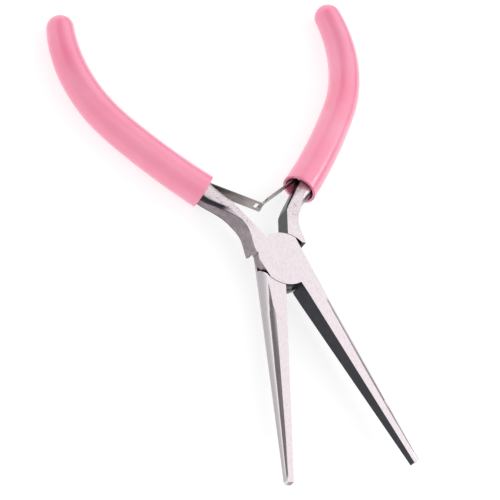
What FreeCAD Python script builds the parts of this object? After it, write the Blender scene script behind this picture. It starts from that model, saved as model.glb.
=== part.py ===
import FreeCAD, Part
import math
import os

import Sketcher
from FreeCAD import Placement, Rotation, Vector

# Long-nose jewellery pliers with a lap joint, slip-on grips and a two-leaf return spring.
#
# Frame: origin on the pivot axis in the plane of the back faces, +Z from the back face to the
# front face, +Y from the pivot to the handles, the jaws towards -Y. The pliers are stored open,
# as the relaxed spring holds them.
#
# Both halves are the same forging, one of them turned over about the Y axis. Each half is
# modelled closed, with the joint's mid-plane at z = 0, and its placement opens it.

DIMENSIONS = {
    # joint
    "thickness": 6.0,
    "disc_radius": 7.6,
    "shoulder_gap": 0.18,
    "lap_gap": 0.04,
    "disc_flat_handle_side": 7.05,
    "rivet_radius": 2.0,
    "rivet_head_radius": 2.6,
    "rivet_head_depth": 0.6,
    "rivet_clearance": 0.05,
    "open_half_angle": 16.56,
    # jaws
    "jaw_length": 63.0,
    "jaw_root_gap": 0.2,
    "jaw_tip_gap": 0.03,
    "jaw_tip_width": 2.27,
    "jaw_tip_thickness": 2.15,
    "jaw_edge_slope": 0.079,
    "taper_start": 11.5,
    "tip_round": 1.05,
    "cone_length": 46.5,
    "cone_run_out": 4.6,
    "cone_run_out_radius": 12.0,
    "shoulder_round_start": 16.0,
    "shoulder_round_length": 22.0,
    "shoulder_start_axis": 3.09,
    "shoulder_start_radius": 2.903,
    "shoulder_pivot_axis": 2.0,
    "shoulder_pivot_radius": 5.127,
    # handles: the path under the grips starts at the mouth and bends inwards in two arcs
    "mouth_across": 7.72,
    "mouth_up": 25.7,
    "mouth_direction": 120.5,
    "first_bend_radius": 165.7,
    "first_bend_angle": 10.0,
    "second_bend_radius": 39.5,
    "second_bend_angle": 49.4,
    "tang_mouth_diameter": 5.9,
    "tang_diameter": 6.2,
    "tang_end_diameter": 5.2,
    "tang_end": 57.0,
    "front_flat_across": 1.3,
    "front_flat_angle": 12.9,
    "back_flat_across": 1.2,
    "back_flat_angle": 1.0,
    # grips
    "left_grip_start": 0.9,
    "right_grip_start": -2.1,
    "left_grip_end": 65.7,
    "right_grip_end": 64.5,
    "grip_mouth_radius": 4.75,
    "grip_middle_radius": 4.52,
    "grip_end_radius": 3.75,
    "grip_bore_mouth_radius": 4.0,
    "grip_bore_radius": 3.3,
    # return spring: two leaves, each on a rivet in its handle, hooked together in the middle
    "leaf_width": 4.0,
    "leaf_thickness": 0.4,
    "leaf_foot": 1.3,
    "leaf_reach": 16.05,
    "leaf_direction": -45.5,
    "leaf_hole_radius": 0.68,
    "rivet_spot_across": 6.55,
    "rivet_spot_up": 27.61,
    "seat_depth": 0.85,
    "seat_width": 4.5,
    "window_width": 2.4,
    "window_near_bar": 0.2,
    "window_far_from_bar": 1.95,
    "hook_offset": 0.7,
    "tongue_width": 1.6,
    "tongue_past_bar": 1.05,
    "tongue_drop": 1.15,
    "spring_rivet_radius": 0.5,
    "spring_rivet_head_radius": 0.9,
    "spring_rivet_depth": 3.0,
    "spring_rivet_head_under": 0.53,
    "spring_rivet_head_height": 0.37,
}

PARTS = {}


def size(alias):
    """The value of a driving dimension, read from the sheet."""
    return float(sheet.get(alias))


def value_of(coordinate):
    """A coordinate is a number, or an alias with an optional minus sign."""
    if isinstance(coordinate, str):
        sign = -1.0 if coordinate.startswith("-") else 1.0
        return sign * size(coordinate.lstrip("-"))
    return float(coordinate)


def bind(target, path, coordinate):
    """Let the sheet drive a property when the coordinate is an alias."""
    if isinstance(coordinate, str):
        sign = "-" if coordinate.startswith("-") else ""
        target.setExpression(path, f"{sign}Sizes.{coordinate.lstrip('-')}")


def add_body(label):
    body = doc.addObject("PartDesign::Body", label)
    body.Label = label
    PARTS[label] = body
    return body


def add_sketch(body, name, plane="XY_Plane", offset=Placement()):
    origin_plane = [item for item in body.Origin.OriginFeatures if item.Role == plane][0]
    sketch = body.newObject("Sketcher::SketchObject", f"{body.Label}_{name}")
    sketch.AttachmentSupport = [(origin_plane, "")]
    sketch.MapMode = "FlatFace"
    sketch.AttachmentOffset = offset
    return sketch


def dimension(sketch, kind, first, second, coordinate):
    """Add a named dimension between two points, or from the sketch origin, driven by the sheet."""
    name = f"d{sketch.ConstraintCount}"
    index = sketch.addConstraint(Sketcher.Constraint(kind, *first, *second, value_of(coordinate)))
    sketch.renameConstraint(index, name)
    bind(sketch, f"Constraints.{name}", coordinate)


def draw_polygon(sketch, corners):
    """A closed outline of straight lines whose corners are given as (x, y) coordinates."""
    points = [Vector(value_of(x), value_of(y), 0) for x, y in corners]
    first_line = sketch.GeometryCount
    count = len(points)
    for index in range(count):
        sketch.addGeometry(Part.LineSegment(points[index], points[(index + 1) % count]))
    for index in range(count):
        line, following = first_line + index, first_line + (index + 1) % count
        sketch.addConstraint(Sketcher.Constraint("Coincident", line, 2, following, 1))
        dimension(sketch, "DistanceX", (-1, 1), (line, 1), corners[index][0])
        dimension(sketch, "DistanceY", (-1, 1), (line, 1), corners[index][1])


def draw_circle(sketch, radius, centre=(0.0, 0.0)):
    middle = Vector(value_of(centre[0]), value_of(centre[1]), 0)
    circle = sketch.addGeometry(Part.Circle(middle, Vector(0, 0, 1), value_of(radius)))
    dimension(sketch, "DistanceX", (-1, 1), (circle, 3), centre[0])
    dimension(sketch, "DistanceY", (-1, 1), (circle, 3), centre[1])
    index = sketch.addConstraint(Sketcher.Constraint("Radius", circle, value_of(radius)))
    sketch.renameConstraint(index, "radius")
    bind(sketch, "Constraints.radius", radius)


def draw_rounded_box(sketch, width, height, corner):
    """A box about the sketch origin with round corners, as four lines joined by four arcs."""
    half_x, half_y, radius = value_of(width) / 2, value_of(height) / 2, value_of(corner)
    inner_x, inner_y = half_x - radius, half_y - radius
    sides = [
        ((-inner_x, -half_y), (inner_x, -half_y)),
        ((half_x, -inner_y), (half_x, inner_y)),
        ((inner_x, half_y), (-inner_x, half_y)),
        ((-half_x, inner_y), (-half_x, -inner_y)),
    ]
    centres = [(inner_x, -inner_y), (inner_x, inner_y), (-inner_x, inner_y), (-inner_x, -inner_y)]
    for index, (side, centre) in enumerate(zip(sides, centres)):
        sketch.addGeometry(Part.LineSegment(Vector(*side[0], 0), Vector(*side[1], 0)))
        circle = Part.Circle(Vector(*centre, 0), Vector(0, 0, 1), radius)
        start = math.radians(90.0 * index - 90.0)
        sketch.addGeometry(Part.ArcOfCircle(circle, start, start + math.pi / 2))
    for index in range(4):
        line, arc, next_line = 2 * index, 2 * index + 1, (2 * index + 2) % 8
        sketch.addConstraint(Sketcher.Constraint("Tangent", line, 2, arc, 1))
        sketch.addConstraint(Sketcher.Constraint("Tangent", arc, 2, next_line, 1))
        direction = "Horizontal" if index % 2 == 0 else "Vertical"
        sketch.addConstraint(Sketcher.Constraint(direction, line))
        if index:
            sketch.addConstraint(Sketcher.Constraint("Equal", 1, arc))
    sketch.addConstraint(Sketcher.Constraint("Symmetric", 1, 3, 5, 3, -1, 1))
    dimension(sketch, "DistanceX", (6, 1), (2, 1), width)
    dimension(sketch, "DistanceY", (0, 1), (4, 1), height)
    index = sketch.addConstraint(Sketcher.Constraint("Radius", 1, radius))
    sketch.renameConstraint(index, "corner")
    bind(sketch, "Constraints.corner", corner)


def add_pad(sketch, body, length, symmetric=True):
    pad = body.newObject("PartDesign::Pad", f"{sketch.Name}_pad")
    pad.Profile = sketch
    pad.SideType = "Symmetric" if symmetric else "One side"
    pad.Length = value_of(length)
    bind(pad, "Length", length)
    sketch.Visibility = False
    return pad


def add_pocket(sketch, body, length=None, reverse=False):
    """Cut a sketch through the whole body, or by a length to one side. It must remove material."""
    doc.recompute()
    before = body.Shape.Volume
    pocket = body.newObject("PartDesign::Pocket", f"{sketch.Name}_pocket")
    pocket.Profile = sketch
    if length is None:
        pocket.Type = "ThroughAll"
        pocket.SideType = "Symmetric"
    else:
        pocket.Length = value_of(length)
        bind(pocket, "Length", length)
        pocket.Reversed = reverse
    doc.recompute()
    if body.Shape.Volume >= before:
        raise RuntimeError(f"{pocket.Name} cuts nothing")
    return pocket


def add_loft(body, name, sections, additive=True):
    kind = "PartDesign::AdditiveLoft" if additive else "PartDesign::SubtractiveLoft"
    loft = body.newObject(kind, f"{body.Label}_{name}")
    loft.Profile = sections[0]
    loft.Sections = sections[1:]
    doc.recompute()
    return loft


def add_turned(kind, sketch, body, angle=360.0):
    """Turn a sketch about its own vertical axis; kind is Revolution or Groove."""
    turned = body.newObject(f"PartDesign::{kind}", f"{sketch.Name}_turned")
    turned.Profile = sketch
    turned.ReferenceAxis = (sketch, ["V_Axis"])
    turned.Midplane = angle < 360.0
    turned.Angle = angle
    doc.recompute()


def add_groove(sketch, body, angle=360.0):
    """Turn a sketch about its own vertical axis to cut the body. It must remove material."""
    doc.recompute()
    before = body.Shape.Volume
    add_turned("Groove", sketch, body, angle)
    if body.Shape.Volume >= before:
        raise RuntimeError(f"{sketch.Name} cuts nothing")


def handle_frame(distance):
    """Point and direction of the handle's centre line, at a distance from the nominal mouth."""
    point = Vector(-size("mouth_across"), size("mouth_up"), 0)
    heading = math.radians(size("mouth_direction"))
    bends = [
        (size("first_bend_radius"), math.radians(size("first_bend_angle"))),
        (size("second_bend_radius"), math.radians(size("second_bend_angle"))),
    ]
    remaining = distance
    for radius, angle in bends:
        turn = min(max(remaining, 0.0) / radius, angle)
        centre = point + radius * Vector(math.sin(heading), -math.cos(heading), 0)
        heading -= turn
        point = centre + radius * Vector(-math.sin(heading), math.cos(heading), 0)
        remaining -= turn * radius
        if turn < angle:
            break
    straight = min(distance, 0.0) + (remaining if turn >= angle else 0.0)
    point += straight * Vector(math.cos(heading), math.sin(heading), 0)
    return point, math.degrees(heading)


def covered_stations():
    """Evenly spaced distances along the handle, from just inside the grip to the tang's end."""
    first, last, count = 3.0, size("tang_end"), 10
    return [first + (last - first) * index / (count - 1) for index in range(count)]


def tang_diameter(distance):
    """The tang is fullest in the middle of the grip and slimmer towards both of its ends."""
    first, last = 3.0, size("tang_end")
    middle = 0.4 * (first + last)
    end_diameter = size("tang_mouth_diameter") if distance < middle else size("tang_end_diameter")
    far = (distance - middle) / (first - middle if distance < middle else last - middle)
    return size("tang_diameter") - (size("tang_diameter") - end_diameter) * far ** 4


def across(point, heading):
    """Placement of a sketch that stands across a path: its X to the path's left, its Y along Z."""
    angle = math.radians(heading)
    left = Vector(-math.sin(angle), math.cos(angle), 0)
    ahead = Vector(math.cos(angle), math.sin(angle), 0)
    return Placement(point, Rotation(left, Vector(0, 0, 1), ahead, "ZXY"))


def handle_section(body, name, placement, width, height, corner):
    sketch = add_sketch(body, name, offset=placement)
    draw_rounded_box(sketch, width, height, corner)
    return sketch


def build_half(label, flat_across, flat_angle, clearance):
    """One forging: handle on -X and +Y, jaw on +X and -Y, its joint plate in front (z > 0)."""
    body = add_body(label)
    half_thickness = size("thickness") / 2

    # joint plate and jaw, as thick as the closed joint
    blank = add_sketch(body, "blank")
    draw_plate_and_jaw(blank)
    add_pad(blank, body, "thickness")

    # forged handle: nearly square at the joint, thin at the waist, round under the grip
    bare_stations = [
        # x, y, heading, width, height, corner
        (-3.65, 4.6, 90.0, 5.30, 8.4, 0.8),
        (-3.20, 8.5, 90.0, 4.40, 8.4, 0.8),
        (-2.70, 12.0, 90.0, 3.60, 8.0, 0.9),
        (-3.30, 15.6, 101.0, 3.75, 7.4, 1.4),
        (-4.85, 19.0, 113.0, 3.85, 6.6, 1.75),
        (-7.20, 23.1, 117.0, 5.20, 5.9, 2.2),
    ]
    root = []
    for index, (x, y, heading, width, height, corner) in enumerate(bare_stations):
        place = across(Vector(x, y, 0), heading)
        root.append(handle_section(body, f"root_{index}", place, width, height, corner))
    tang = []
    for distance in covered_stations():
        diameter = tang_diameter(distance)
        place = across(*handle_frame(distance))
        name = f"tang_{int(distance)}"
        tang.append(handle_section(body, name, place, diameter, diameter, 0.46 * diameter))
    add_loft(body, "handle_root", root + tang[:1])
    add_loft(body, "handle_tang", tang)

    # front and back of the handle are ground flush with the joint plate
    grinding = add_sketch(body, "face_grinding", "XZ_Plane")
    for side in (1, -1):
        draw_polygon(grinding, [
            (-40.0, side * half_thickness), (12.0, side * half_thickness),
            (12.0, side * (half_thickness + 4.0)), (-40.0, side * (half_thickness + 4.0)),
        ])
    add_pocket(grinding, body)

    # inner side of the handle is ground flat next to the joint
    corner_place = Placement(Vector(-value_of(flat_across), size("disc_radius"), 0),
                             Rotation(Vector(0, 0, 1), value_of(flat_angle)))
    inner_flat = add_sketch(body, "inner_flat", offset=corner_place)
    draw_polygon(inner_flat, [(0.0, 0.0), (4.0, 0.0), (4.0, 16.0), (0.0, 16.0)])
    add_pocket(inner_flat, body)

    # the jaw tapers in thickness from the joint to the tip
    taper = add_sketch(body, "jaw_taper", "YZ_Plane")
    half_tip = size("jaw_tip_thickness") / 2
    for side in (1, -1):
        draw_polygon(taper, [
            ("-taper_start", side * half_thickness), ("-jaw_length", side * half_tip),
            (-size("jaw_length") - 1.0, side * half_tip),
            (-size("jaw_length") - 1.0, side * (half_thickness + 1.0)),
            ("-taper_start", side * (half_thickness + 1.0)),
        ])
    add_pocket(taper, body)

    grind_jaw_cone(body)
    round_jaw_shoulder(body)

    # lap recess: the other half's disc turns in it, and its outer corner is relieved
    recess_place = Placement(Vector(0, 0, size("lap_gap") / 2), Rotation())
    recess = add_sketch(body, "lap_recess", offset=recess_place)
    draw_circle(recess, size("disc_radius") + size("shoulder_gap"))
    add_pocket(recess, body, 5.0)
    relief = add_sketch(body, "shoulder_relief", offset=recess_place)
    draw_polygon(relief, [(-10.0, 2.0), (-6.5, 3.0), (-4.9, 5.8), (-10.0, 5.8)])
    add_pocket(relief, body, 5.0)

    # countersunk bore for the pivot rivet
    bore = add_sketch(body, "bore", "XZ_Plane")
    shank, head = size("rivet_radius") + clearance, size("rivet_head_radius") + clearance
    sink_start = half_thickness - size("rivet_head_depth")
    draw_polygon(bore, [(0.0, -1.0), (shank, -1.0), (shank, sink_start), (head, half_thickness),
                        (head, half_thickness + 1.0), (0.0, half_thickness + 1.0)])
    add_groove(bore, body)

    # seat of the spring leaf in the handle's inner side, with the hole for its rivet
    spot, inward = spring_rivet_spot()
    seat_place = across(spot - size("seat_depth") * inward, size("mouth_direction"))
    seat = add_sketch(body, "spring_seat", offset=seat_place)
    half_seat = size("seat_width") / 2
    draw_polygon(seat, [(0.0, -half_seat), (0.0, half_seat), (-4.0, half_seat), (-4.0, -half_seat)])
    seat_cut = add_pocket(seat, body, 6.0)
    seat_cut.SideType = "Two sides"
    seat_cut.Length2 = 3.2
    hole = add_sketch(body, "spring_rivet_hole", offset=rivet_frame())
    draw_circle(hole, "spring_rivet_radius")
    add_pocket(hole, body, "spring_rivet_depth")
    return body


def jaw_edge_across(up):
    """Outer edge of the jaw: one straight line from the tip to the joint."""
    return size("jaw_tip_width") + size("jaw_edge_slope") * (size("jaw_length") + up)


def draw_plate_and_jaw(sketch):
    """The disc with a flat on the handle side, and the jaw as a long wedge with a round tip corner."""
    radius, tip_round = size("disc_radius"), size("tip_round")
    left = size("disc_flat_handle_side")
    length, slope = size("jaw_length"), size("jaw_edge_slope")

    def on_disc(x, side):
        return Vector(x, side * math.sqrt(radius ** 2 - x ** 2), 0)

    # where the straight outer edge meets the disc
    at_pivot = jaw_edge_across(0)
    steep = 1 + slope ** 2
    root = math.sqrt((slope * at_pivot) ** 2 - steep * (at_pivot ** 2 - radius ** 2))
    edge_end_up = (root - slope * at_pivot) / steep
    edge_end = Vector(jaw_edge_across(edge_end_up), edge_end_up, 0)

    edge_angle = -math.atan(slope)
    round_across = jaw_edge_across(tip_round - length) - tip_round / math.cos(edge_angle)
    round_centre = Vector(round_across, tip_round - length, 0)
    round_end = round_centre + tip_round * Vector(math.cos(edge_angle), math.sin(edge_angle), 0)
    crotch = on_disc(size("jaw_root_gap"), -1)
    tip_inner = Vector(size("jaw_tip_gap"), -length, 0)
    tip_outer = Vector(round_centre.x, -length, 0)
    left_top, left_bottom = on_disc(-left, 1), on_disc(-left, -1)

    def arc(centre, arc_radius, start, end):
        circle = Part.Circle(centre, Vector(0, 0, 1), arc_radius)
        angles = [math.atan2(point.y - centre.y, point.x - centre.x) for point in (start, end)]
        if angles[1] < angles[0]:
            angles[1] += 2 * math.pi
        return Part.ArcOfCircle(circle, *angles)

    origin = Vector(0, 0, 0)
    outline = [
        Part.LineSegment(crotch, tip_inner),
        Part.LineSegment(tip_inner, tip_outer),
        arc(round_centre, tip_round, tip_outer, round_end),
        Part.LineSegment(round_end, edge_end),
        arc(origin, radius, edge_end, left_top),
        Part.LineSegment(left_top, left_bottom),
        arc(origin, radius, left_bottom, crotch),
    ]
    tip_line, tip_arc, edge_line, upper_arc, left_flat, lower_arc = range(1, 7)
    for curve in outline:
        sketch.addGeometry(curve)
    for index in range(len(outline)):
        following = (index + 1) % len(outline)
        joint = "Tangent" if index in (tip_line, tip_arc) else "Coincident"
        sketch.addConstraint(Sketcher.Constraint(joint, index, 2, following, 1))
    for disc_arc in (upper_arc, lower_arc):
        sketch.addConstraint(Sketcher.Constraint("Coincident", disc_arc, 3, -1, 1))
    sketch.addConstraint(Sketcher.Constraint("Equal", upper_arc, lower_arc))
    sketch.addConstraint(Sketcher.Constraint("Vertical", left_flat))
    sketch.addConstraint(Sketcher.Constraint("Horizontal", tip_line))
    for name, curve, alias in (("disc", upper_arc, "disc_radius"), ("tip", tip_arc, "tip_round")):
        index = sketch.addConstraint(Sketcher.Constraint("Radius", curve, size(alias)))
        sketch.renameConstraint(index, name)
        bind(sketch, f"Constraints.{name}", alias)
    dimension(sketch, "DistanceX", (-1, 1), (0, 1), "jaw_root_gap")
    dimension(sketch, "DistanceX", (-1, 1), (tip_line, 1), "jaw_tip_gap")
    dimension(sketch, "DistanceY", (-1, 1), (tip_line, 1), "-jaw_length")
    dimension(sketch, "DistanceX", (-1, 1), (edge_line, 1), round_end.x)
    dimension(sketch, "DistanceY", (-1, 1), (upper_arc, 1), edge_end.y)
    dimension(sketch, "DistanceX", (-1, 1), (left_flat, 1), "-disc_flat_handle_side")


def tilted_placement(start, end):
    """A sketch plane whose vertical axis runs from start to end."""
    tilt = math.degrees(math.atan2(end.x - start.x, end.y - start.y))
    return Placement(start, Rotation(Vector(0, 0, 1), -tilt))


def grind_jaw_cone(body):
    """Half-round grinding of the jaw's outer side: a slim cone that runs out at the root."""
    length, bend_radius = size("cone_length"), size("cone_run_out_radius")
    half_tip, half_plate = size("jaw_tip_thickness") / 2, size("thickness") / 2
    taper = (half_plate - half_tip) / (size("jaw_length") - size("taper_start"))
    grow = 1.004
    clear = 0.02
    tip_radius = grow * half_tip
    root_radius = grow * (half_tip + taper * length)
    tip_up, root_up = -size("jaw_length"), length - size("jaw_length")
    tip_axis = Vector(jaw_edge_across(tip_up) - clear - tip_radius, tip_up, 0)
    root_axis = Vector(jaw_edge_across(root_up) - clear - root_radius, root_up, 0)
    sketch = add_sketch(body, "jaw_cone", offset=tilted_placement(tip_axis, root_axis))

    rise = (root_radius - tip_radius) / length
    along = Vector(rise, 1, 0).normalize()
    outward = Vector(along.y, -along.x, 0)
    bend_start = Vector(root_radius, length, 0)
    centre = bend_start + bend_radius * outward
    start_angle = math.atan2(-outward.y, -outward.x) + 2 * math.pi
    end_angle = start_angle - size("cone_run_out") / bend_radius
    bend_end = centre + bend_radius * Vector(math.cos(end_angle), math.sin(end_angle), 0)
    before_tip = Vector(tip_radius - rise, -1.0, 0)
    far = 12.0
    circle = Part.Circle(centre, Vector(0, 0, 1), bend_radius)
    corners = [Vector(far, bend_end.y, 0), Vector(far, before_tip.y, 0)]
    sketch.addGeometry(Part.LineSegment(before_tip, bend_start))
    sketch.addGeometry(Part.ArcOfCircle(circle, end_angle, start_angle))
    sketch.addGeometry(Part.LineSegment(bend_end, corners[0]))
    sketch.addGeometry(Part.LineSegment(corners[0], corners[1]))
    sketch.addGeometry(Part.LineSegment(corners[1], before_tip))
    for join in [(0, 2, 1, 2), (1, 1, 2, 1), (2, 2, 3, 1), (3, 2, 4, 1), (4, 2, 0, 1)]:
        sketch.addConstraint(Sketcher.Constraint("Coincident", *join))
    add_groove(sketch, body, 180.0)


def round_jaw_shoulder(body):
    """The outer side of the jaw root and the joint plate bulges: a blunter cone, flatter near the pivot."""
    first_axis = Vector(size("shoulder_start_axis"), -size("shoulder_round_start"), 0)
    second_axis = Vector(size("shoulder_pivot_axis"), 0, 0)
    first_radius, second_radius = size("shoulder_start_radius"), size("shoulder_pivot_radius")
    length, far = size("shoulder_round_length"), 14.0
    rise = (second_radius - first_radius) / (second_axis - first_axis).Length
    last_radius = first_radius + rise * length
    sketch = add_sketch(body, "shoulder_round", offset=tilted_placement(first_axis, second_axis))
    draw_polygon(sketch, [(first_radius, 0.0), (far, 0.0), (far, length), (last_radius, length)])
    add_groove(sketch, body, 180.0)


def spring_rivet_spot():
    """Where a spring leaf turns on its rivet, and the direction from there to the tool's middle."""
    heading = math.radians(size("mouth_direction"))
    spot = Vector(-size("rivet_spot_across"), size("rivet_spot_up"), 0)
    return spot, Vector(math.sin(heading), -math.cos(heading), 0)


def rivet_frame():
    """Sketch placement at a spring rivet's spot, looking inwards along the rivet."""
    spot, inward = spring_rivet_spot()
    along = Vector(-inward.y, inward.x, 0)
    return Placement(spot, Rotation(along, Vector(0, 0, 1), inward, "ZXY"))


def leaf_frame(direction, flat=False):
    """Placement at the leaf's rivet with X along the leaf; flat puts the sketch in its face."""
    angle = math.radians(direction)
    along, upper = Vector(math.cos(angle), math.sin(angle), 0), Vector(-math.sin(angle), math.cos(angle), 0)
    spot = spring_rivet_spot()[0]
    if flat:
        return Placement(spot, Rotation(along, Vector(0, 0, 1), -upper, "XYZ"))
    return Placement(spot, Rotation(along, upper, Vector(0, 0, 1), "XYZ"))


def build_leaf(label, direction, outline, cuts):
    """A strip of spring steel: its edge outline as wide as the leaf, then cuts through its face."""
    body = add_body(label)
    edge = add_sketch(body, "edge", offset=leaf_frame(direction))
    draw_polygon(edge, outline)
    add_pad(edge, body, "leaf_width")
    face = add_sketch(body, "rivet_hole", offset=leaf_frame(direction, flat=True))
    draw_circle(face, "leaf_hole_radius")
    add_pocket(face, body)
    for index, cut in enumerate(cuts):
        sketch = add_sketch(body, f"cut_{index}", offset=leaf_frame(direction, flat=True))
        draw_polygon(sketch, cut)
        add_pocket(sketch, body)
    return body


def build_bar_leaf(label):
    """The leaf with a window near its end; the other leaf's tongue hooks round the end bar."""
    half, reach = size("leaf_thickness") / 2, size("leaf_reach")
    outline = [("-leaf_foot", -half), (reach + half, -half), (reach + half, half), ("-leaf_foot", half)]
    half_window = size("window_width") / 2
    near, far = reach - size("window_near_bar"), reach - size("window_far_from_bar")
    window = [(far, -half_window), (near, -half_window), (near, half_window), (far, half_window)]
    return build_leaf(label, size("leaf_direction"), outline, [window])


def build_tongue_leaf(label):
    """The leaf with a narrow tongue that passes through the window and bends down past the bar."""
    half, reach = size("leaf_thickness") / 2, size("leaf_reach")
    rise = math.degrees(math.atan2(size("hook_offset"), reach))
    end, drop = reach + size("tongue_past_bar"), size("tongue_drop")
    outline = [("-leaf_foot", -half), (end - half, -half), (end - half, -drop), (end + half, -drop),
               (end + half, half), ("-leaf_foot", half)]
    half_leaf, half_tongue = size("leaf_width") / 2 + 0.5, size("tongue_width") / 2
    shoulder = reach - 1.6
    cuts = [[(shoulder, side * half_tongue), (end + 1.0, side * half_tongue), (end + 1.0, side * half_leaf),
             (shoulder - 0.6, side * half_leaf)] for side in (1, -1)]
    body = build_leaf(label, size("leaf_direction") + rise, outline, cuts)
    return body


def build_turned_part(label, place, outline):
    """A rivet: half of its outline turned about the sketch's vertical axis."""
    body = add_body(label)
    sketch = add_sketch(body, "outline", offset=place)
    draw_polygon(sketch, outline)
    add_turned("Revolution", sketch, body)
    return body


def build_spring_rivet(label):
    spot, inward = spring_rivet_spot()
    along = Vector(inward.y, -inward.x, 0)
    place = Placement(spot, Rotation(along, inward, Vector(0, 0, 1), "XYZ"))
    under = size("spring_rivet_head_under")
    top = under + size("spring_rivet_head_height")
    shank, head = size("spring_rivet_radius"), size("spring_rivet_head_radius")
    return build_turned_part(label, place, [
        (0.0, "-spring_rivet_depth"), (shank, "-spring_rivet_depth"), (shank, under), (head, under),
        (head, top - 0.12), (head - 0.25, top), (0.0, top),
    ])


def build_pivot_rivet(label):
    half, shank, head = size("thickness") / 2, size("rivet_radius"), size("rivet_head_radius")
    sink = half - size("rivet_head_depth")
    place = Placement(Vector(0, 0, 0), Rotation(Vector(1, 0, 0), 90))
    return build_turned_part(label, place, [
        (0.0, -half), (head, -half), (shank, -sink), (shank, sink), (head, half), (0.0, half),
    ])


def build_grip(label, start, end):
    """A dipped sleeve that follows the handle, with a round end and a lip at the mouth."""
    body = add_body(label)
    middle, last = size("grip_middle_radius"), size("grip_end_radius")
    end_centre = end - last
    steps = 11
    sections = []
    for index in range(steps + 1):
        share = index / steps
        distance = start + share * (end_centre - start)
        mouth_flare = (size("grip_mouth_radius") - middle) * (1.0 - share) ** 4
        radius = middle + mouth_flare - (middle - last) * share ** 4
        sketch = add_sketch(body, f"outer_{index}", offset=across(*handle_frame(distance)))
        draw_circle(sketch, radius)
        sections.append(sketch)
    add_loft(body, "sleeve", sections)

    point, heading = handle_frame(end_centre)
    cap = add_sketch(body, "cap", offset=Placement(point, Rotation(Vector(0, 0, 1), heading - 90.0)))
    cap.addGeometry(Part.LineSegment(Vector(0, 0, 0), Vector(last, 0, 0)))
    circle = Part.Circle(Vector(0, 0, 0), Vector(0, 0, 1), last)
    cap.addGeometry(Part.ArcOfCircle(circle, 0.0, math.pi / 2))
    cap.addGeometry(Part.LineSegment(Vector(0, last, 0), Vector(0, 0, 0)))
    for join in [(0, 1, -1, 1), (0, 2, 1, 1), (1, 2, 2, 1), (2, 2, 0, 1), (1, 3, 0, 1)]:
        cap.addConstraint(Sketcher.Constraint("Coincident", *join))
    cap.addConstraint(Sketcher.Constraint("Horizontal", 0))
    cap.addConstraint(Sketcher.Constraint("Vertical", 2))
    dimension(cap, "DistanceX", (-1, 1), (0, 2), "grip_end_radius")
    add_turned("Revolution", cap, body)

    wide, narrow = size("grip_bore_mouth_radius"), size("grip_bore_radius")
    mouth_stations = [(start - 0.5, wide), (start + 2.5, wide - 0.1)]
    tang_stations = [(distance, narrow) for distance in covered_stations() if distance > 8.0]
    bottom = (size("tang_end") + 0.3, narrow)
    bore_sections = []
    for index, (distance, radius) in enumerate([*mouth_stations, *tang_stations, bottom]):
        sketch = add_sketch(body, f"bore_{index}", offset=across(*handle_frame(distance)))
        draw_circle(sketch, radius)
        bore_sections.append(sketch)
    add_loft(body, "hollow", bore_sections, additive=False)
    return body


def report_bad_objects():
    for item in doc.Objects:
        if {"Invalid", "Error"} & set(item.State):
            raise RuntimeError(f"{item.Name} failed: {item.State}")
    for label, part in PARTS.items():
        shape = part.Shape
        if shape.isNull() or not shape.isValid() or not shape.Solids:
            raise RuntimeError(f"{label} has no valid solid")


doc = FreeCAD.newDocument("pliers")
sheet = doc.addObject("Spreadsheet::Sheet", "Sizes")
for row, (alias, number) in enumerate(DIMENSIONS.items(), start=1):
    sheet.set(f"A{row}", alias)
    sheet.set(f"B{row}", str(number))
    sheet.setAlias(f"B{row}", alias)
doc.recompute()

def place_halves():
    """Open the pliers: the front half's parts turn one way, the back half's are turned over first."""
    lift = Vector(0, 0, size("thickness") / 2)
    front = Placement(lift, Rotation(Vector(0, 0, 1), size("open_half_angle")))
    turned_over = Rotation(Vector(0, 1, 0), 180)
    back = Placement(lift, Rotation(Vector(0, 0, 1), -size("open_half_angle")) * turned_over)
    for label in ("front_half", "left_grip", "left_leaf_spring", "left_spring_rivet", "pivot_rivet"):
        PARTS[label].Placement = front
    for label in ("back_half", "right_grip", "right_leaf_spring", "right_spring_rivet"):
        PARTS[label].Placement = back


build_half("front_half", "front_flat_across", "front_flat_angle", 0.0)
build_half("back_half", "back_flat_across", "back_flat_angle", size("rivet_clearance"))
build_pivot_rivet("pivot_rivet")
build_grip("left_grip", size("left_grip_start"), size("left_grip_end"))
build_grip("right_grip", size("right_grip_start"), size("right_grip_end"))
build_bar_leaf("left_leaf_spring")
build_tongue_leaf("right_leaf_spring")
build_spring_rivet("left_spring_rivet")
build_spring_rivet("right_spring_rivet")
place_halves()

doc.recompute()
report_bad_objects()
os.makedirs("parts", exist_ok=True)
for label, part in PARTS.items():
    part.Shape.exportStep(f"parts/{label}.step")
    print(label, "volume", round(part.Shape.Volume, 1), "solids", len(part.Shape.Solids))
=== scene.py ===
import math

import bpy
from mathutils import Matrix, Vector


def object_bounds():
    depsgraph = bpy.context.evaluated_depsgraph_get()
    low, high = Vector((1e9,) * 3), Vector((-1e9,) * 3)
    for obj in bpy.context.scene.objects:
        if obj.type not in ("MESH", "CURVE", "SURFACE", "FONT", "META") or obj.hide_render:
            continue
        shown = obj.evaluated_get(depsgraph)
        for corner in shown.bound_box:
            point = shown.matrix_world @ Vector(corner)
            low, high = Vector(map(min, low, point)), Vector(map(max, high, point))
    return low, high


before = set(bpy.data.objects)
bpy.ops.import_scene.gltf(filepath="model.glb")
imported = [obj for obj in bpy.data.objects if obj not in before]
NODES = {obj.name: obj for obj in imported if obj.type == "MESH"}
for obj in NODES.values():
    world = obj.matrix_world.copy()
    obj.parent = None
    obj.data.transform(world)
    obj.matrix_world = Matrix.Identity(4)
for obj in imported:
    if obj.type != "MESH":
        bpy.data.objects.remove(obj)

CAD_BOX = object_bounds()

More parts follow.
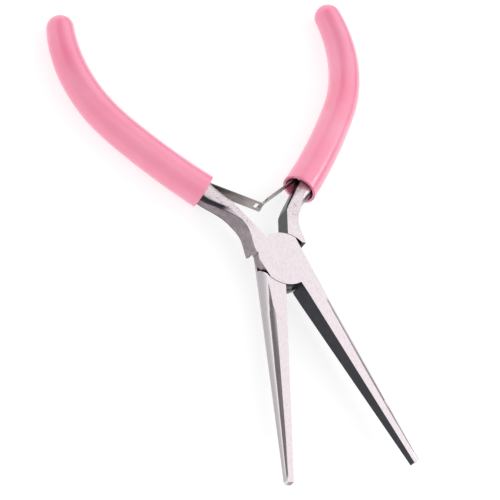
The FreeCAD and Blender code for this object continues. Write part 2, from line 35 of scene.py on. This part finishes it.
# Camera: where it stands and how it is turned, in the row frame, in metres.
CAMERA_AT = Vector((-0.31235, -0.22361, 0.50132))
CAMERA_RIGHT = Vector((0.8688, -0.3004, 0.3937))
CAMERA_FORWARD = Vector((0.4859, 0.3642, -0.7945))
CAMERA_LENS_MM = 172.4
CAMERA_SENSOR_MM = 36.0

# Studio: sizes in metres, power in watts, shades as a share of the room's brightness.
FLOOR_HALF_SIZE = 3.0
FLOOR_Z = CAD_BOX[0][2]
FLOOR_COLOUR = (0.36, 0.36, 0.36, 1.0)
FLOOR_GLOW = 0.72
WHITE = (1.0, 1.0, 1.0, 1.0)
SOFTBOX_AT = (1.0, -0.1, 0.6)
SOFTBOX_SIZE = 0.35
SOFTBOX_POWER = 1.6
ROOM_BRIGHTNESS = 1.3
HIGH_LEFT_SHADE = 0.84
LOW_RIGHT_SHADE = 0.75
FRONT_LEFT_SHADE = 0.45


# ---------------------------------------------------------------- node helpers

def new_material(name):
    """A node material with a Principled shader, and the tools to add nodes to it."""
    material = bpy.data.materials.new(name)
    material.use_nodes = True
    tree = material.node_tree
    return material, tree, tree.nodes["Principled BSDF"]


def add_node(tree, kind, inputs=None, **settings):
    """Add a node, set its properties, and set or link its inputs."""
    node = tree.nodes.new(kind)
    for key, value in settings.items():
        setattr(node, key, value)
    for key, value in (inputs or {}).items():
        if isinstance(value, bpy.types.NodeSocket):
            tree.links.new(value, node.inputs[key])
        else:
            node.inputs[key].default_value = value
    return node


def object_position(tree):
    return add_node(tree, "ShaderNodeTexCoord").outputs["Object"]


def noise(tree, position, scale, detail=3.0, roughness=0.5):
    """Noise stretched along the axes; scale is in cells per metre for each axis."""
    mapping = add_node(tree, "ShaderNodeMapping", {"Vector": position, "Scale": scale})
    field = add_node(tree, "ShaderNodeTexNoise", {
        "Vector": mapping.outputs["Vector"], "Scale": 1.0, "Detail": detail, "Roughness": roughness,
    })
    return field.outputs["Fac"]


def ramp(tree, value, low, high, low_out=0.0, high_out=1.0):
    """Map a value from one range to another, clamped and smooth."""
    mapped = add_node(tree, "ShaderNodeMapRange", {
        "Value": value, "From Min": low, "From Max": high, "To Min": low_out, "To Max": high_out,
    }, interpolation_type="SMOOTHSTEP")
    return mapped.outputs["Result"]


def mix_colour(tree, factor, first, second):
    return add_node(tree, "ShaderNodeMix", {0: factor, 6: first, 7: second}, data_type="RGBA").outputs[2]


def mix_value(tree, factor, first, second):
    return add_node(tree, "ShaderNodeMix", {0: factor, 2: first, 3: second}).outputs[0]


def calculate(tree, operation, first, second=0.0):
    return add_node(tree, "ShaderNodeMath", {0: first, 1: second}, operation=operation).outputs[0]


def along(tree, vector, direction):
    """How far a vector reaches along a direction."""
    return add_node(tree, "ShaderNodeVectorMath", {0: vector, 1: direction},
                    operation="DOT_PRODUCT").outputs["Value"]


def distance(tree, vector, point):
    return add_node(tree, "ShaderNodeVectorMath", {0: vector, 1: point},
                    operation="DISTANCE").outputs["Value"]


def vertical(tree, vector):
    return add_node(tree, "ShaderNodeSeparateXYZ", {"Vector": vector}).outputs["Z"]


def maximum(tree, *values):
    largest = values[0]
    for value in values[1:]:
        largest = calculate(tree, "MAXIMUM", largest, value)
    return largest


def multiply(tree, *values):
    product = values[0]
    for value in values[1:]:
        product = calculate(tree, "MULTIPLY", product, value)
    return product


def specks(tree, position, scale, size):
    """Scattered small round pits: 1 inside a pit, 0 elsewhere."""
    mapping = add_node(tree, "ShaderNodeMapping", {"Vector": position, "Scale": (scale, scale, scale)})
    cells = add_node(tree, "ShaderNodeTexVoronoi", {"Vector": mapping.outputs["Vector"], "Scale": 1.0})
    return ramp(tree, cells.outputs["Distance"], size, size * 0.5)


# ---------------------------------------------------------------- materials

GROUND_LIGHT = (0.75, 0.675, 0.705, 1.0)
GROUND_DARK = (0.65, 0.58, 0.61, 1.0)
# Painted shade: the darker colour on the polished jaw cone where it faces out sideways.
CONE_EDGE_SHADE = (0.46, 0.43, 0.45, 1.0)
# Forged sides: their own darker finish, darkened further as painted shade on faces that turn sideways.
FORGED_AND_SHADED_LIGHT = (0.36, 0.31, 0.33, 1.0)
FORGED_AND_SHADED_DARK = (0.24, 0.20, 0.22, 1.0)
# Colour of the painted shade on inner faces, lap, shoulders, crotch and handle root, and of the jaw's darker
# inner finish.
SHADE_AND_DARK_STEEL = (0.030, 0.030, 0.038, 1.0)
SHADE_AND_DARK_STEEL_LIGHT = (0.055, 0.055, 0.066, 1.0)
ROUGH_FACE = (0.50, 0.44, 0.46, 1.0)
PIT = (0.10, 0.08, 0.08, 1.0)
GRIP_PINK = (1.0, 0.32, 0.475, 1.0)
GRIP_DEEP_PINK = (1.0, 0.25, 0.395, 1.0)
LEAF_BRIGHT = (0.46, 0.42, 0.41, 1.0)
LEAF_DARK = (0.16, 0.14, 0.14, 1.0)
RIVET_BRIGHT = (0.72, 0.66, 0.69, 1.0)
RIVET_DARK = (0.62, 0.57, 0.60, 1.0)
LEAF_ROUGHNESS = 0.35
RIVET_ROUGHNESS = 0.30

# Each half has its own frame: across points to its jaw's outer side, up points to its handle.
PIVOT = (0.0, 0.0, 0.003)
HALF_OPENING = math.radians(16.56)
TURN_SIN, TURN_COS = math.sin(HALF_OPENING), math.cos(HALF_OPENING)
FRONT_ACROSS, FRONT_UP = (TURN_COS, TURN_SIN, 0.0), (-TURN_SIN, TURN_COS, 0.0)
BACK_ACROSS, BACK_UP = (-TURN_COS, TURN_SIN, 0.0), (TURN_SIN, TURN_COS, 0.0)

# Bands over which a finish or painted shade fades in, in metres: first heights up the half from the
# pivot, then the distance from the pivot, the distance off the middle plane, how far out of the joint's
# middle a face looks (negative towards it), and the leaves' height along Y.
HANDLE_ROOT = (0.010, 0.014)
HANDLE_INNER_SIDE = (0.004, 0.006)
GRIP_PATCH = (0.0175, 0.0200)
JAW_CONE = (-0.001, -0.003)
JAW_CROTCH = (-0.0055, -0.0065)
JAW_INNER_FACE = (-0.0065, -0.0075)
JOINT_RADIUS = (0.0092, 0.0088)
LAP_OFF_MIDDLE = (0.0004, 0.0002)
SHOULDER_DISTANCE = (-0.004, -0.006)
LEAF_TOWARDS_GRIP = (0.0165, 0.0235)

EDGE_ROUND = 0.00012
GRIP_EDGE_ROUND = 0.00030
WELD_DISTANCE = 0.000001


class HalfSurface:
    """Where a point of a half lies in the half's own frame, which way it faces, and the noise on it."""

    def __init__(self, tree, across, up):
        coordinates = add_node(tree, "ShaderNodeTexCoord")
        position = coordinates.outputs["Object"]
        normal = coordinates.outputs["Normal"]
        off_middle = calculate(tree, "SUBTRACT", vertical(tree, position), PIVOT[2])
        self.position = position
        self.height = along(tree, position, up)
        self.facing = along(tree, normal, across)
        self.outward = along(tree, position, normal)
        self.level = calculate(tree, "ABSOLUTE", along(tree, normal, (0.0, 0.0, 1.0)))
        self.off_middle = calculate(tree, "ABSOLUTE", off_middle)
        self.on_root = ramp(tree, self.height, *HANDLE_ROOT)
        self.on_cone = multiply(tree, ramp(tree, self.height, *JAW_CONE), ramp(tree, self.facing, 0.04, 0.12))
        self.brushing = noise(tree, position, (5200.0, 5200.0, 2600.0), detail=2.0)
        self.strokes = noise(tree, position, (3400.0, 900.0, 3400.0))
        self.cloud = noise(tree, position, (420.0, 420.0, 420.0), detail=4.0)
        self.grit = noise(tree, position, (2200.0, 2200.0, 2200.0), detail=4.0, roughness=0.7)


def bare_steel(tree, at):
    """Ground faces, forged sides between them darkened partly as painted shade, a wider rough face on the
    root, a polished cone with painted shade on its outer edge.
    """
    grain = calculate(tree, "ADD", multiply(tree, at.strokes, 0.5), multiply(tree, at.grit, 0.5))
    ground = mix_colour(tree, ramp(tree, grain, 0.34, 0.62), GROUND_DARK, GROUND_LIGHT)
    # Forged finish on the sides, partly painted shade: darker where the faces turn sideways.
    forged_and_shaded = mix_colour(tree, ramp(tree, at.cloud, 0.3, 0.7), FORGED_AND_SHADED_DARK, FORGED_AND_SHADED_LIGHT)
    rough_face = mix_colour(tree, ramp(tree, at.grit, 0.30, 0.55), ROUGH_FACE, GROUND_LIGHT)
    plate = mix_colour(tree, ramp(tree, at.level, 0.70, 0.93), forged_and_shaded, ground)
    root = mix_colour(tree, ramp(tree, at.level, 0.30, 0.45), forged_and_shaded, rough_face)
    # Painted shade on the cone's outer edge, where its faces turn out sideways.
    cone = mix_colour(tree, ramp(tree, at.facing, 0.66, 0.82), GROUND_LIGHT, CONE_EDGE_SHADE)
    return mix_colour(tree, at.on_cone, mix_colour(tree, at.on_root, plate, root), cone)


def inside_shade_and_dark_finish(tree, at):
    """Painted shade on the jaw and handle inner sides, lap, shoulders and crotch; the jaw's inner face is
    also a darker finish.
    """
    upright = ramp(tree, at.level, 0.6, 0.4)
    near = ramp(tree, distance(tree, at.position, PIVOT), *JOINT_RADIUS)
    inner_jaw = multiply(tree, ramp(tree, at.facing, -0.80, -0.93), ramp(tree, at.height, *JAW_INNER_FACE))
    inner_handle = multiply(tree, ramp(tree, at.facing, 0.55, 0.8), ramp(tree, at.height, *HANDLE_INNER_SIDE))
    lap = multiply(tree, ramp(tree, at.off_middle, *LAP_OFF_MIDDLE), ramp(tree, at.level, 0.8, 0.95))
    shoulder = multiply(tree, ramp(tree, at.outward, *SHOULDER_DISTANCE), near, upright)
    crotch = multiply(tree, ramp(tree, at.height, *JAW_CROTCH), near, upright,
                      ramp(tree, at.facing, 0.5, 0.3))
    return maximum(tree, inner_jaw, inner_handle, lap, shoulder, crotch)


def root_painted_shade(tree, at):
    """Painted shade on the root's outer side: a dark band along a crease, and a smooth dark patch at the
    grip.
    """
    outer_side = ramp(tree, at.facing, -0.1, -0.3)
    crease = multiply(tree, at.on_root, ramp(tree, at.level, 0.14, 0.22),
                      ramp(tree, at.level, 0.38, 0.28), 0.75)
    patch = multiply(tree, ramp(tree, at.height, *GRIP_PATCH), ramp(tree, at.level, 0.85, 0.72),
                     ramp(tree, at.level, 0.18, 0.30), outer_side)
    return maximum(tree, multiply(tree, crease, outer_side), patch)


def half_material(name, across, up):
    """Ground front and back faces, polished jaw cone, inner faces dark with painted shade and a darker jaw
    finish, forged and pitted handle root with painted shade on its outer side.
    """
    material, tree, shader = new_material(name)
    at = HalfSurface(tree, across, up)
    # Painted shade on the inner faces, lap, shoulders, crotch and the root's outer side; the jaw's inner face
    # is also a darker finish.
    dark = maximum(tree, inside_shade_and_dark_finish(tree, at), root_painted_shade(tree, at))
    outside_dark_and_shade = calculate(tree, "SUBTRACT", 1.0, dark)
    pits = multiply(tree, specks(tree, at.position, 1300.0, 0.26), ramp(tree, at.cloud, 0.50, 0.62),
                    at.on_root, outside_dark_and_shade)
    # Painted shade, and the jaw's darker inner finish, in the dark steel colour.
    shade_and_dark_steel = mix_colour(tree, at.cloud, SHADE_AND_DARK_STEEL, SHADE_AND_DARK_STEEL_LIGHT)
    colour = mix_colour(tree, dark, bare_steel(tree, at), shade_and_dark_steel)

    shader.inputs["Metallic"].default_value = 1.0
    tree.links.new(mix_colour(tree, pits, colour, PIT), shader.inputs["Base Color"])
    smooth = mix_value(tree, at.on_cone, ramp(tree, at.brushing, 0.2, 0.8, 0.24, 0.38), 0.16)
    roughness = mix_value(tree, multiply(tree, at.on_root, outside_dark_and_shade), smooth, 0.42)
    tree.links.new(roughness, shader.inputs["Roughness"])
    off_cone = calculate(tree, "SUBTRACT", 1.0, multiply(tree, at.on_cone, 0.8))
    relief = calculate(tree, "ADD", multiply(tree, at.grit, at.on_root, outside_dark_and_shade),
                       multiply(tree, at.brushing, off_cone, 0.15))
    bump = add_node(tree, "ShaderNodeBump", {"Height": relief, "Strength": 0.4, "Distance": 0.0002})
    tree.links.new(bump.outputs["Normal"], shader.inputs["Normal"])
    return material


def steel_material(name, bright, dark, roughness, towards_grip=None):
    """Plain brushed steel; with towards_grip, a band along Y over which it darkens."""
    material, tree, shader = new_material(name)
    position = object_position(tree)
    streaks = noise(tree, position, (2500.0, 250.0, 2500.0), detail=2.0)
    cloud = noise(tree, position, (300.0, 300.0, 300.0), detail=4.0)
    factor = ramp(tree, cloud, 0.3, 0.7)
    if towards_grip:
        height = along(tree, position, (0.0, 1.0, 0.0))
        shade = calculate(tree, "ADD", ramp(tree, height, *towards_grip), multiply(tree, factor, 0.25))
        factor = calculate(tree, "MINIMUM", shade, 1.0)
    colour = mix_colour(tree, factor, bright, dark)
    shader.inputs["Metallic"].default_value = 1.0
    tree.links.new(colour, shader.inputs["Base Color"])
    tree.links.new(ramp(tree, streaks, 0.3, 0.7, roughness - 0.05, roughness + 0.08),
                   shader.inputs["Roughness"])
    bump = add_node(tree, "ShaderNodeBump", {"Height": streaks, "Strength": 0.08, "Distance": 0.0001})
    tree.links.new(bump.outputs["Normal"], shader.inputs["Normal"])
    return material


def grip_material():
    """Glossy soft PVC with faint waves in its colour and surface."""
    material, tree, shader = new_material("grip_pvc")
    position = object_position(tree)
    waves = noise(tree, position, (60.0, 60.0, 60.0), detail=2.0)
    colour = mix_colour(tree, ramp(tree, waves, 0.3, 0.7), GRIP_PINK, GRIP_DEEP_PINK)
    tree.links.new(colour, shader.inputs["Base Color"])
    shader.inputs["Roughness"].default_value = 0.30
    shader.inputs["Specular IOR Level"].default_value = 0.7
    shader.inputs["Subsurface Weight"].default_value = 0.15
    shader.inputs["Subsurface Radius"].default_value = (1.0, 0.4, 0.4)
    shader.inputs["Subsurface Scale"].default_value = 0.002
    shader.inputs["Coat Weight"].default_value = 0.6
    shader.inputs["Coat Roughness"].default_value = 0.12
    bump = add_node(tree, "ShaderNodeBump", {"Height": waves, "Strength": 0.2, "Distance": 0.0004})
    tree.links.new(bump.outputs["Normal"], shader.inputs["Normal"])
    return material


def paint(material, *names):
    """Give CAD nodes a material in place of the one they came with."""
    for name in names:
        mesh = NODES[name].data
        mesh.materials.clear()
        mesh.materials.append(material)


def soften_edges(width, *names):
    """Small rounds on the sharp edges, so that they catch the light."""
    for name in names:
        weld = NODES[name].modifiers.new("weld", "WELD")
        weld.merge_threshold = WELD_DISTANCE
        bevel = NODES[name].modifiers.new("rounds", "BEVEL")
        bevel.width = width
        bevel.segments = 2
        bevel.limit_method = "ANGLE"
        bevel.angle_limit = math.radians(35.0)
        bevel.harden_normals = True


paint(half_material("front_steel", FRONT_ACROSS, FRONT_UP), "front_half", "pivot_rivet")
paint(half_material("back_steel", BACK_ACROSS, BACK_UP), "back_half")
paint(steel_material("rivet_steel", RIVET_BRIGHT, RIVET_DARK, RIVET_ROUGHNESS),
      "left_spring_rivet", "right_spring_rivet")
paint(steel_material("spring_steel", LEAF_BRIGHT, LEAF_DARK, LEAF_ROUGHNESS, LEAF_TOWARDS_GRIP),
      "left_leaf_spring", "right_leaf_spring")
paint(grip_material(), "left_grip", "right_grip")
soften_edges(EDGE_ROUND, "front_half", "back_half", "left_leaf_spring", "right_leaf_spring")
soften_edges(GRIP_EDGE_ROUND, "left_grip", "right_grip")


# ---------------------------------------------------------------- studio

def add_camera():
    """A long lens above the part, on its left and on the side of the jaws."""
    data = bpy.data.cameras.new("camera")
    camera = bpy.data.objects.new("camera", data)
    bpy.context.collection.objects.link(camera)
    forward = CAMERA_FORWARD.normalized()
    right = (CAMERA_RIGHT - CAMERA_RIGHT.dot(forward) * forward).normalized()
    up = right.cross(forward)
    turn = Matrix((right, up, -forward)).transposed().to_4x4()
    camera.matrix_world = Matrix.Translation(CAMERA_AT) @ turn
    data.lens = CAMERA_LENS_MM
    data.sensor_width = CAMERA_SENSOR_MM
    data.clip_start = 0.01
    data.clip_end = 20.0
    bpy.context.scene.camera = camera


def add_floor():
    """A plain pale floor under the part."""
    half = FLOOR_HALF_SIZE
    corners = [(-half, -half, 0), (half, -half, 0), (half, half, 0), (-half, half, 0)]
    mesh = bpy.data.meshes.new("floor")
    mesh.from_pydata(corners, [], [(0, 1, 2, 3)])
    floor = bpy.data.objects.new("floor", mesh)
    floor.location.z = FLOOR_Z
    bpy.context.collection.objects.link(floor)
    material, tree, shader = new_material("floor_white")
    shader.inputs["Base Color"].default_value = FLOOR_COLOUR
    shader.inputs["Roughness"].default_value = 0.9
    shader.inputs["Emission Color"].default_value = WHITE
    shader.inputs["Emission Strength"].default_value = FLOOR_GLOW
    mesh.materials.append(material)


def add_softbox(name, location, size, power):
    """A square area light aimed at the origin."""
    data = bpy.data.lights.new(name, "AREA")
    data.shape = "RECTANGLE"
    data.size = size
    data.size_y = size
    data.energy = power
    light = bpy.data.objects.new(name, data)
    light.location = location
    light.rotation_euler = (-Vector(location)).to_track_quat("-Z", "Y").to_euler()
    bpy.context.collection.objects.link(light)


def add_world():
    """A white room that is darker high at the back left, low on the right, and at the front left."""
    world = bpy.data.worlds.new("studio")
    world.use_nodes = True
    tree = world.node_tree
    direction = add_node(tree, "ShaderNodeTexCoord").outputs["Generated"]
    rise = along(tree, direction, (0.0, 0.0, 1.0))
    right = along(tree, direction, (1.0, 0.0, 0.0))
    back = along(tree, direction, (0.0, 1.0, 0.0))
    high_left = multiply(tree, ramp(tree, rise, 0.50, 0.56), ramp(tree, right, 0.50, -0.20),
                         ramp(tree, back, 0.0, 0.3))
    low_right = multiply(tree, ramp(tree, rise, 0.42, 0.34), ramp(tree, right, 0.45, 0.60))
    front_left = ramp(tree, along(tree, direction, (-0.6, -0.8, 0.0)), 0.0, 0.7)
    shade = maximum(tree, multiply(tree, high_left, HIGH_LEFT_SHADE),
                    multiply(tree, low_right, LOW_RIGHT_SHADE),
                    multiply(tree, front_left, FRONT_LEFT_SHADE))
    brightness = calculate(tree, "SUBTRACT", 1.0, shade)
    background = tree.nodes["Background"]
    background.inputs["Color"].default_value = WHITE
    tree.links.new(multiply(tree, brightness, ROOM_BRIGHTNESS), background.inputs["Strength"])
    bpy.context.scene.world = world


add_camera()
add_floor()
add_softbox("softbox_right", SOFTBOX_AT, SOFTBOX_SIZE, SOFTBOX_POWER)
add_world()
bpy.context.scene.view_settings.view_transform = "Standard"
